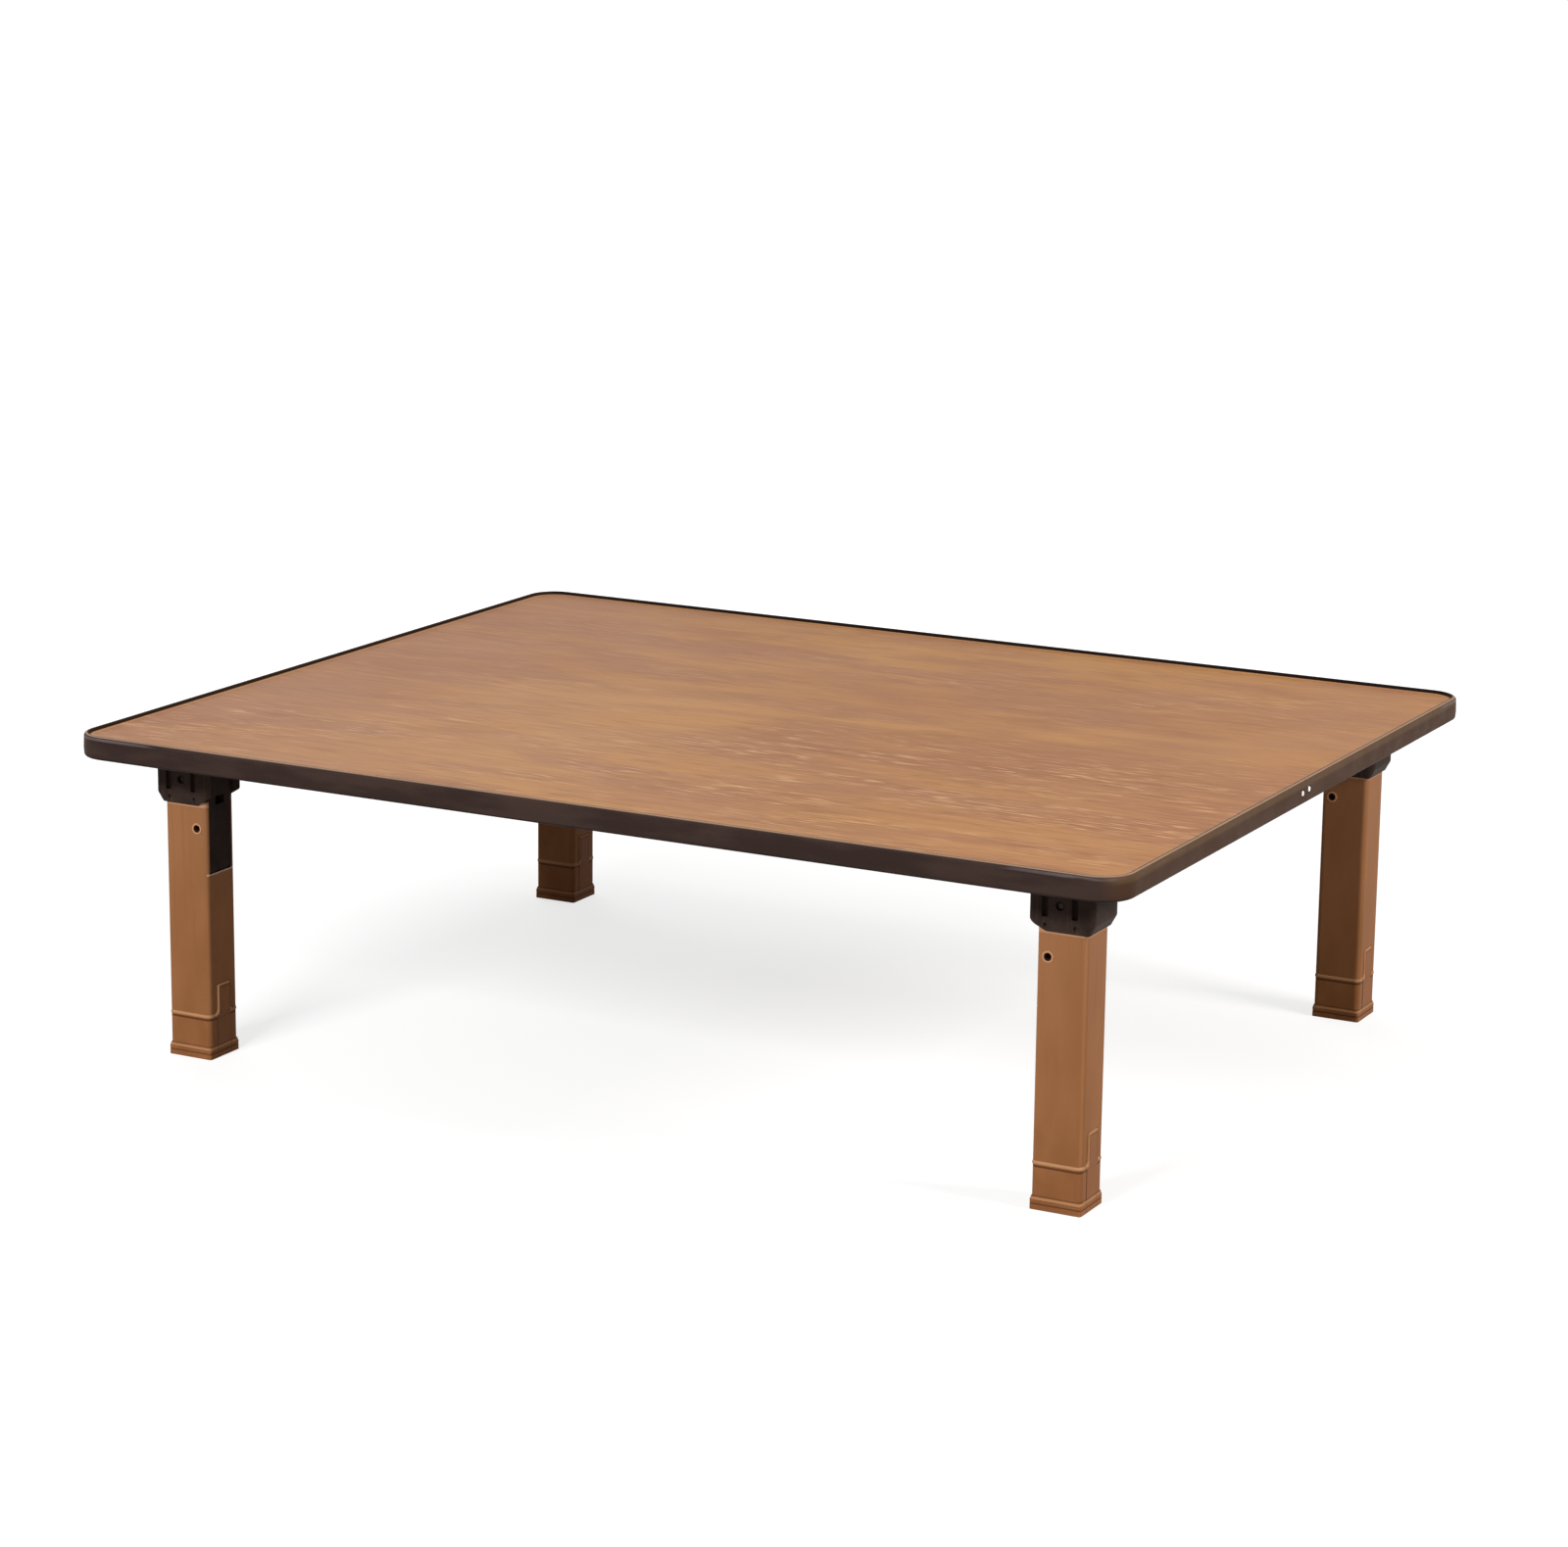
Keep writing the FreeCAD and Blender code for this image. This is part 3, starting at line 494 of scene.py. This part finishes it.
LEG_TUCK = 3.0 * MILLIMETRE
LEVER_END_GAP = 1.4 * MILLIMETRE
UPRIGHT_WEAR_HIGHLIGHT_START = 3.1 * MILLIMETRE
UPRIGHT_WEAR_HIGHLIGHT_FULL = 2.7 * MILLIMETRE
UPRIGHT_WEAR_HIGHLIGHT_SHARE = 0.5
WEAR_HIGHLIGHT_PATCHES = Ease(0.30, 0.62, start=0.45)
HEAD_HIGHLIGHT_START = 2.6 * MILLIMETRE
HEAD_HIGHLIGHT_FULL = 1.0 * MILLIMETRE
INNER_FACE_FULL = 1.0 * MILLIMETRE
INNER_FACE_FADE = 1.4 * MILLIMETRE
SILL_BELOW = 0.9 * MILLIMETRE
SILL_ABOVE = 0.3 * MILLIMETRE
SILL_SOFT = 0.4 * MILLIMETRE
SPECK_HEIGHT = 0.3
PAINT_RELIEF = 0.03 * MILLIMETRE
PAINT_NOISES = {
    "peel": Noise((820.0, 820.0, 820.0)),
    "speck": Noise((3200.0, 3200.0, 3200.0), detail=1.0),
    "rubs": Noise((260.0, 260.0, 7.0), detail=4.0, roughness=0.6),
    "cloud": Noise((22.0, 22.0, 9.0), detail=3.0),
}
PAINT_TONES = (srgb(144, 95, 58), srgb(156, 105, 68))
PAINT_LAYERS = (
    Layer("rise", srgb(158, 110, 76), share=0.50),
    Layer("rubs", srgb(134, 86, 52), share=0.35, start=0.55, full=0.75),
    Layer("speck", srgb(168, 116, 78), share=0.35, start=0.60, full=0.75),
    # Wear with a painted highlight on the rounded upright edges
    Layer("wear_and_highlight", srgb(192, 142, 106), share=0.28),
    # Painted highlight just below the bracket
    Layer("head_highlight", srgb(208, 160, 126), share=0.60),
    # Painted highlight along the window's sill below the lever
    Layer("sill_highlight", srgb(226, 190, 160), share=0.85),
)
PAINT_SURFACE = Surface(smooth=0.38, rough=0.46, relief=PAINT_RELIEF, rubbed=0.06, specular=0.03)

RIVET_SHADE_RADIUS = 3.2 * MILLIMETRE
RIVET_SHADE_SOFT = 0.5 * MILLIMETRE
RIVET_RELIEF = 0.02 * MILLIMETRE
RIVET_MARKS = Noise((1500.0, 900.0, 1500.0), detail=3.0)
# A lighter tone that is a painted highlight on the rivet's edge
RIVET_HIGHLIGHT_TONES = (srgb(176, 126, 90), srgb(204, 156, 120))
# Painted shade in the rivet's mouth
RIVET_LAYERS = (Layer("mouth", srgb(44, 16, 8), share=0.97),)
RIVET_SURFACE = Surface(smooth=0.36, rough=0.48, relief=RIVET_RELIEF, specular=0.04)


def leg_places(s):
    """How far out a point lies from the middle of its leg along X and Y, with half the
    leg's section. The first value is below 0 on the side that faces the table's middle."""
    low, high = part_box("front_left_leg_tube")
    middle = (low + high) / 2
    half = (high - low) / 2
    return s.away(s.x, middle.x), s.absolute(s.away(s.y, middle.y)), half


def leg_paint():
    """Satin brown paint on steel: a fine orange peel, faint marks along the leg, worn corners that
    carry a painted highlight, and painted highlight lines where the leg meets its bracket and
    below the lever."""
    s = Shader("leg_paint")
    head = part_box("front_left_leg_tube")[1].z - LEG_TUCK
    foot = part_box("front_left_foot_boot")[1].z
    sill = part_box("front_left_lock_lever")[0].z - LEVER_END_GAP
    out, along, half = leg_places(s)
    drivers = s.noises(PAINT_NOISES)
    reach = s.minus(s.plus(s.absolute(out), along), half.x + half.y)
    # Wear with a painted highlight on the rounded upright edges
    upright = s.ease(reach, -UPRIGHT_WEAR_HIGHLIGHT_START, -UPRIGHT_WEAR_HIGHLIGHT_FULL, 0.0, UPRIGHT_WEAR_HIGHLIGHT_SHARE)
    wear_and_highlight = s.times(upright, s.ease(drivers["rubs"], *WEAR_HIGHLIGHT_PATCHES))
    inner = s.fall(out, INNER_FACE_FULL - half.x, INNER_FACE_FADE - half.x)
    sill_band = s.band(s.z, sill - SILL_BELOW, sill + SILL_ABOVE, SILL_SOFT)
    drivers["rise"] = s.ease(s.z, foot, head)
    drivers["wear_and_highlight"] = wear_and_highlight
    # Painted highlight just below the bracket
    drivers["head_highlight"] = s.ease(s.z, head - HEAD_HIGHLIGHT_START, head - HEAD_HIGHLIGHT_FULL)
    # Painted highlight along the window's sill below the lever
    drivers["sill_highlight"] = s.times(inner, sill_band)

    colour = s.lay(s.blend(PAINT_TONES, drivers["cloud"]), PAINT_LAYERS, drivers)
    height = s.plus(drivers["peel"], s.times(drivers["speck"], SPECK_HEIGHT))
    return s.finish(PAINT_SURFACE, colour, drivers["cloud"], height, wear_and_highlight)


def round_distance(s, node):
    """Distance from the axis along Y of a round piece, in the same piece of every leg."""
    low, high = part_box(node)
    middle = (low + high) / 2
    return s.length(s.point(s.away(s.x, middle.x), 0.0, s.minus(s.z, middle.z)))


def rivet_paint():
    """The leg's paint on a turned-over edge, in a lighter tone that is a painted highlight, with
    painted shade in its hollow.
    """
    s = Shader("rivet_paint")
    marks = s.noise(RIVET_MARKS)
    distance = round_distance(s, "front_left_lever_rivet")
    # Painted shade in the rivet's mouth
    drivers = {"mouth": s.fall(distance, RIVET_SHADE_RADIUS, RIVET_SHADE_RADIUS + RIVET_SHADE_SOFT)}
    colour = s.lay(s.blend(RIVET_HIGHLIGHT_TONES, marks), RIVET_LAYERS, drivers)
    return s.finish(RIVET_SURFACE, colour, marks, marks)


# Foot boots. Heights are measured from the floor, and the strip's half width from the middle of
# the face that it lies on. Its painted highlight and painted shade lines are measured in from its
# edges.

BEAD_TOP = 41.0 * MILLIMETRE
BEAD_LOW = 37.0 * MILLIMETRE
BEAD_RISE = 1.8 * MILLIMETRE
BEAD_FALL = 0.6 * MILLIMETRE
BEAD_SHADOW = 1.2 * MILLIMETRE
STRIP_TOP = 67.0 * MILLIMETRE
STRIP_HALF = 9.5 * MILLIMETRE
STRIP_HIGHLIGHT_START = 1.5 * MILLIMETRE
STRIP_HIGHLIGHT_FULL = 0.9 * MILLIMETRE
STRIP_SHADE_FAR = 2.8 * MILLIMETRE
STRIP_SHADE_NEAR = 2.0 * MILLIMETRE
STRIP_SEAM = 0.4 * MILLIMETRE
STRIP_FADE = 1.0 * MILLIMETRE
FACE_START = 1.0 * MILLIMETRE
FACE_FULL = 0.5 * MILLIMETRE
SHOE_TOP = 11.0 * MILLIMETRE
SHOE_HIGHLIGHT_LOW = 2.2 * MILLIMETRE
SHOE_HIGHLIGHT_HIGH = 0.8 * MILLIMETRE
SHOE_SHADOW = 0.8 * MILLIMETRE
GROOVE = 5.0 * MILLIMETRE
GROOVE_HALF = 0.4 * MILLIMETRE
LINE_SOFT = 0.5 * MILLIMETRE
SHOE_HIGHLIGHT_SHARE = 0.7
FAINT_SHADE_SHARE = 0.5
GROOVE_SHADE_AND_SEAM_SHARE = 0.6
SCUFF_FULL = 1.0 * MILLIMETRE
SCUFF_FADE = 14.0 * MILLIMETRE
SCUFF_EDGE = Ease(0.56, 0.72)
BOOT_RELIEF = 0.03 * MILLIMETRE
BOOT_NOISES = {
    "grain": Noise((1700.0, 1700.0, 1700.0)),
    "cloud": Noise((30.0, 30.0, 24.0), detail=3.0),
    "scratches": Noise((120.0, 120.0, 900.0), detail=3.0, roughness=0.6),
}
BOOT_TONES = (srgb(142, 92, 56), srgb(154, 102, 65))
BOOT_LAYERS = (
    Layer("scuffs", srgb(112, 70, 42), share=0.70),
    Layer("grain", srgb(166, 114, 76), share=0.30, start=0.58, full=0.75),
    # Painted highlights on the bead, the strip's edges and the top of the shoe
    Layer("highlight_lines", srgb(204, 156, 114), share=0.60),
    # Painted shade below the bead, over the shoe, in the groove and inside the strip's edges, with
    # dark seams along the strip
    Layer("shade_and_seam_lines", srgb(70, 38, 20), share=0.75),
)
BOOT_SURFACE = Surface(smooth=0.40, rough=0.50, relief=BOOT_RELIEF, specular=0.04)


def boot_lines(s):
    """The painted light and shade lines along the forms of the boot: painted highlights on the
    bead, the edges of the strip and the top of the shoe; painted shade below the bead, over the
    shoe, in the groove and just inside the strip's edges; and a dark line along the foot of the
    strip."""
    out, along, half = leg_places(s)
    face = s.ease(s.absolute(out), half.x - FACE_START, half.x - FACE_FULL)
    on_strip = s.times(face, s.fall(along, STRIP_HALF, STRIP_HALF + STRIP_FADE))
    off_strip = s.minus(1.0, on_strip)
    above_bead = s.ease(s.z, BEAD_LOW, BEAD_TOP)
    below_bead = s.fall(s.z, BEAD_LOW - LINE_SOFT, BEAD_LOW)

    bead = s.band(s.z, BEAD_LOW + BEAD_RISE, BEAD_TOP - BEAD_FALL, LINE_SOFT)
    strip_side = s.ease(along, STRIP_HALF - STRIP_HIGHLIGHT_START, STRIP_HALF - STRIP_HIGHLIGHT_FULL)
    strip_end = s.ease(s.z, STRIP_TOP - STRIP_HIGHLIGHT_START, STRIP_TOP - STRIP_HIGHLIGHT_FULL)
    strip = s.times(s.most(strip_side, strip_end), above_bead)
    shoe = s.band(s.z, SHOE_TOP - SHOE_HIGHLIGHT_LOW, SHOE_TOP - SHOE_HIGHLIGHT_HIGH, LINE_SOFT)
    # Painted highlights on the bead, the strip's edges and the top of the shoe
    light = s.most(s.times(bead, off_strip), strip, s.times(shoe, SHOE_HIGHLIGHT_SHARE))

    # Painted shade below the bead, over the shoe, in the groove and inside the strip's edges, with
    # dark seams along the strip
    under_bead = s.times(s.band(s.z, BEAD_LOW - BEAD_SHADOW, BEAD_LOW, LINE_SOFT), off_strip)
    over_shoe = s.band(s.z, SHOE_TOP, SHOE_TOP + SHOE_SHADOW, LINE_SOFT)
    groove = s.band(s.z, GROOVE - GROOVE_HALF, GROOVE + GROOVE_HALF, LINE_SOFT)
    seam = s.times(face, s.band(along, STRIP_HALF, STRIP_HALF + STRIP_SEAM, LINE_SOFT), below_bead)
    near_side = s.band(along, STRIP_HALF - STRIP_SHADE_FAR, STRIP_HALF - STRIP_SHADE_NEAR, LINE_SOFT)
    near_end = s.band(s.z, STRIP_TOP - STRIP_SHADE_FAR, STRIP_TOP - STRIP_SHADE_NEAR, LINE_SOFT)
    inside = s.times(s.most(near_side, near_end), on_strip, above_bead, s.minus(1.0, strip))
    faint_shade = s.times(s.most(over_shoe, inside), FAINT_SHADE_SHARE)
    groove_shade_and_seam = s.times(s.most(groove, seam), GROOVE_SHADE_AND_SEAM_SHARE)
    return light, s.most(under_bead, faint_shade, groove_shade_and_seam)


def boot_plastic():
    """Moulded plastic in the leg's brown, scuffed near the floor, with painted highlight and shade
    lines.
    """
    s = Shader("boot_plastic")
    drivers = s.noises(BOOT_NOISES)
    low = s.fall(s.z, SCUFF_FULL, SCUFF_FADE)
    drivers["scuffs"] = s.times(s.ease(drivers["scratches"], *SCUFF_EDGE), low)
    drivers["highlight_lines"], drivers["shade_and_seam_lines"] = boot_lines(s)
    colour = s.lay(s.blend(BOOT_TONES, drivers["cloud"]), BOOT_LAYERS, drivers)
    return s.finish(BOOT_SURFACE, colour, drivers["cloud"], drivers["grain"])


# Black plastic and steel. The painted shade round a pin is measured from the pin's axis.

PIN_SHADE_RADIUS = 3.6 * MILLIMETRE
PIN_SHADE_SOFT = 0.8 * MILLIMETRE
BLACK_FLOW_HEIGHT = 0.4
BLACK_RELIEF = 0.04 * MILLIMETRE
BLACK_NOISES = {
    "spark": Noise((2200.0, 2200.0, 2200.0), roughness=0.6),
    "flow": Noise((330.0, 330.0, 9.0), detail=3.0),
    "cloud": Noise((40.0, 40.0, 40.0), detail=3.0),
}
BLACK_TONES = (srgb(42, 32, 28), srgb(53, 41, 36))
BLACK_LINE = srgb(68, 55, 49)
BRACKET_TONES = (srgb(57, 45, 40), srgb(69, 55, 49))
BRACKET_LINE = srgb(86, 71, 63)
SPARK = Layer("spark", srgb(82, 69, 62), share=0.35, start=0.62, full=0.76)
# Painted shade round the pins
PIN_RECESS_SHADE = Layer("pin_shade", srgb(16, 12, 11), share=0.75)
BLACK_SURFACE = Surface(smooth=0.36, rough=0.48, relief=BLACK_RELIEF, specular=0.01)

STEEL_NOISES = {
    "drawn": Noise((300.0, 2400.0, 2400.0), detail=3.0),
    "stain": Noise((160.0, 160.0, 160.0), detail=3.0),
}
ZINC_TONES = (srgb(182, 180, 172), srgb(212, 210, 202))
ZINC_SURFACE = Surface(smooth=0.26, rough=0.40, relief=METAL_RELIEF, metallic=1.0)
OILED_TONES = (srgb(24, 20, 19), srgb(38, 33, 31))
OILED_SURFACE = Surface(smooth=0.35, rough=0.50, relief=METAL_RELIEF, metallic=1.0)


def black_plastic(name, tones, line):
    """Moulded black plastic with a fine spark texture and faint upright flow lines, with painted
    shade round the pins."""
    s = Shader(name)
    drivers = s.noises(BLACK_NOISES)
    distance = round_distance(s, "front_left_pivot_pin")
    # Painted shade round the pins
    drivers["pin_shade"] = s.fall(distance, PIN_SHADE_RADIUS, PIN_SHADE_RADIUS + PIN_SHADE_SOFT)
    flow_lines = Layer("flow", line, share=0.45, start=0.52, full=0.78)
    colour = s.blend(tones, drivers["cloud"])
    colour = s.lay(colour, (flow_lines, SPARK, PIN_RECESS_SHADE), drivers)
    height = s.plus(drivers["spark"], s.times(drivers["flow"], BLACK_FLOW_HEIGHT))
    return s.finish(BLACK_SURFACE, colour, drivers["flow"], height)


def steel(name, tones, surface):
    """Plated or oiled steel with fine drawn marks."""
    s = Shader(name)
    drivers = s.noises(STEEL_NOISES)
    return s.finish(surface, s.blend(tones, drivers["stain"]), drivers["drawn"], drivers["drawn"])


def dress(node, material):
    """Gives one material to every slot of a CAD node."""
    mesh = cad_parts[node].data
    mesh.materials.clear()
    mesh.materials.append(material)


def dress_all():
    dress("top_laminate", wood_laminate())
    dress("edge_moulding", edge_plastic())
    dress("balance_sheet", balance_paper())
    dress("core_board", board_core())
    dress("seam_nails", nail_metal())
    black = black_plastic("black_plastic", BLACK_TONES, BLACK_LINE)
    bracket = black_plastic("bracket_plastic", BRACKET_TONES, BRACKET_LINE)
    zinc = steel("zinc_steel", ZINC_TONES, ZINC_SURFACE)
    oiled = steel("dark_steel", OILED_TONES, OILED_SURFACE)
    finishes = {
        "leg_bracket": bracket, "leg_insert": black, "lock_lever": black,
        "pivot_pin": oiled, "bracket_screws": zinc, "lever_spring": zinc,
        "leg_tube": leg_paint(), "lever_rivet": rivet_paint(), "foot_boot": boot_plastic(),
    }
    for corner in CORNERS:
        for piece, material in finishes.items():
            dress(corner + "_" + piece, material)


def shorten_springs():
    """Each lever spring gives way to a copy of itself with its own mesh, which is carried by its
    leg."""
    for corner in CORNERS:
        node = corner + "_lever_spring"
        spring = bpy.data.objects.new(corner + "_return_spring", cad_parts[node].data.copy())
        bpy.context.scene.collection.objects.link(spring)
        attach(spring, corner + "_leg")
        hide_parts(node)
        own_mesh(spring)


# Studio. The floor gives back a share of the light and glows for the camera, with the full
# glow from the far reach on and less of it within the near reach, where the shadow lies.

FLOOR_HALF = 40.0
FLOOR_DROP = 0.2 * MILLIMETRE
FLOOR_DEEP = 0.4
FLOOR_PALE = 0.408
FLOOR_MOTTLE = Noise((9.0, 9.0, 9.0), detail=3.0)
FLOOR_SURFACE = Surface(smooth=0.85, rough=0.95, specular=0.0)
GLOW_NEAR_REACH = 0.9
GLOW_FAR_REACH = 2.2
GLOW_NEAR = 0.74
GLOW_FULL = 1.0
SKY_GLOW = 0.18

# Each lamp's direction from the table, in degrees, its distance and size, and its level
LAMPS = {
    "overhead": {"azimuth": 170, "elevation": 72, "distance": 3.2, "width": 2.6, "height": 2.0,
                 "level": 0.24},
    "front_key": {"azimuth": -6, "elevation": 31, "distance": 3.6, "width": 1.3, "height": 0.7,
                  "level": 0.74},
    "right_key": {"azimuth": 90, "elevation": 30, "distance": 3.4, "width": 1.1, "height": 0.7,
                  "level": 0.60, "tint": (1.0, 0.97, 0.91)},
    "back_fill": {"azimuth": 228, "elevation": 35, "distance": 3.6, "width": 2.0, "height": 1.2,
                  "level": 0.16},
}


def direction(azimuth, elevation):
    """Unit vector from the table: azimuth 0 points to the front, 90 to the right."""
    a = math.radians(azimuth)
    e = math.radians(elevation)
    return Vector((math.sin(a) * math.cos(e), -math.cos(a) * math.cos(e), math.sin(e)))


def softbox(name, azimuth, elevation, distance, width, height, level, tint=WHITE):
    """A lamp that gives a white face turned to it at the table's middle the given level."""
    data = bpy.data.lights.new(name, "AREA")
    data.shape = "RECTANGLE"
    data.size = width
    data.size_y = height
    data.energy = level * math.pi ** 2 * distance ** 2
    data.color = tint
    lamp = bpy.data.objects.new(name, data)
    bpy.context.scene.collection.objects.link(lamp)
    away = direction(azimuth, elevation)
    middle = (cad_box[0] + cad_box[1]) / 2
    lamp.matrix_world = (Matrix.Translation(middle + away * distance)
                         @ away.to_track_quat("Z", "Y").to_matrix().to_4x4())


def seen_share(tree):
    """1 for camera, glossy and transmission rays, 0 for the rays that light the table."""
    path = tree.nodes.new("ShaderNodeLightPath")
    total = path.outputs["Is Camera Ray"]
    for output in ("Is Glossy Ray", "Is Transmission Ray"):
        node = tree.nodes.new("ShaderNodeMath")
        node.operation = "MAXIMUM"
        tree.links.new(total, node.inputs[0])
        tree.links.new(path.outputs[output], node.inputs[1])
        total = node.outputs[0]
    return total


def make_world():
    """White to the eye, and a weak even light on the table."""
    world = bpy.data.worlds.new("studio")
    world.use_nodes = True
    bpy.context.scene.world = world
    tree = world.node_tree
    background = tree.nodes["Background"]
    background.inputs["Color"].default_value = (*WHITE, OPAQUE)
    strength = tree.nodes.new("ShaderNodeMapRange")
    strength.inputs["To Min"].default_value = SKY_GLOW
    strength.inputs["To Max"].default_value = GLOW_FULL
    tree.links.new(seen_share(tree), strength.inputs["Value"])
    tree.links.new(strength.outputs[0], background.inputs["Strength"])


def make_floor():
    """A pale floor that looks white where it is lit and keeps the table's shadow."""
    mesh = bpy.data.meshes.new("floor")
    half = FLOOR_HALF
    corners = [(-half, -half, 0), (half, -half, 0), (half, half, 0), (-half, half, 0)]
    mesh.from_pydata(corners, [], [range(len(corners))])
    floor = bpy.data.objects.new("floor", mesh)
    floor.location.z = -FLOOR_DROP
    bpy.context.scene.collection.objects.link(floor)

    s = Shader("floor_paper")
    mottle = s.noise(FLOOR_MOTTLE)
    deep = (FLOOR_DEEP, FLOOR_DEEP, FLOOR_DEEP, OPAQUE)
    pale = (FLOOR_PALE, FLOOR_PALE, FLOOR_PALE, OPAQUE)
    s.finish(FLOOR_SURFACE, s.mix(deep, pale, mottle), mottle)
    reach = s.ease(s.length(s.place), GLOW_NEAR_REACH, GLOW_FAR_REACH, GLOW_NEAR, GLOW_FULL)
    glow = s.add("ShaderNodeEmission")
    s.feed(glow.inputs["Strength"], s.times(seen_share(s.tree), reach))
    total = s.add("ShaderNodeAddShader")
    s.feed(total.inputs[0], s.principled.outputs[0])
    s.feed(total.inputs[1], glow.outputs[0])
    s.feed(s.tree.nodes["Material Output"].inputs["Surface"], total.outputs[0])
    mesh.materials.append(s.material)


def make_lamps():
    for name, lamp in LAMPS.items():
        softbox(name, **lamp)


def make_camera():
    data = bpy.data.cameras.new("camera")
    data.lens = CAMERA_LENS
    data.sensor_width = SENSOR_WIDTH
    camera = bpy.data.objects.new("camera", data)
    bpy.context.scene.collection.objects.link(camera)
    turn = (Matrix.Rotation(CAMERA_YAW, 4, "Z")
            @ Matrix.Rotation(math.pi / 2 + CAMERA_PITCH, 4, "X")
            @ Matrix.Rotation(CAMERA_ROLL, 4, "Z"))
    camera.matrix_world = Matrix.Translation(CAMERA_PLACE) @ turn
    bpy.context.scene.camera = camera


make_camera()
make_world()
make_floor()
make_lamps()
dress_all()
shorten_springs()
bpy.context.scene.view_settings.view_transform = "Standard"
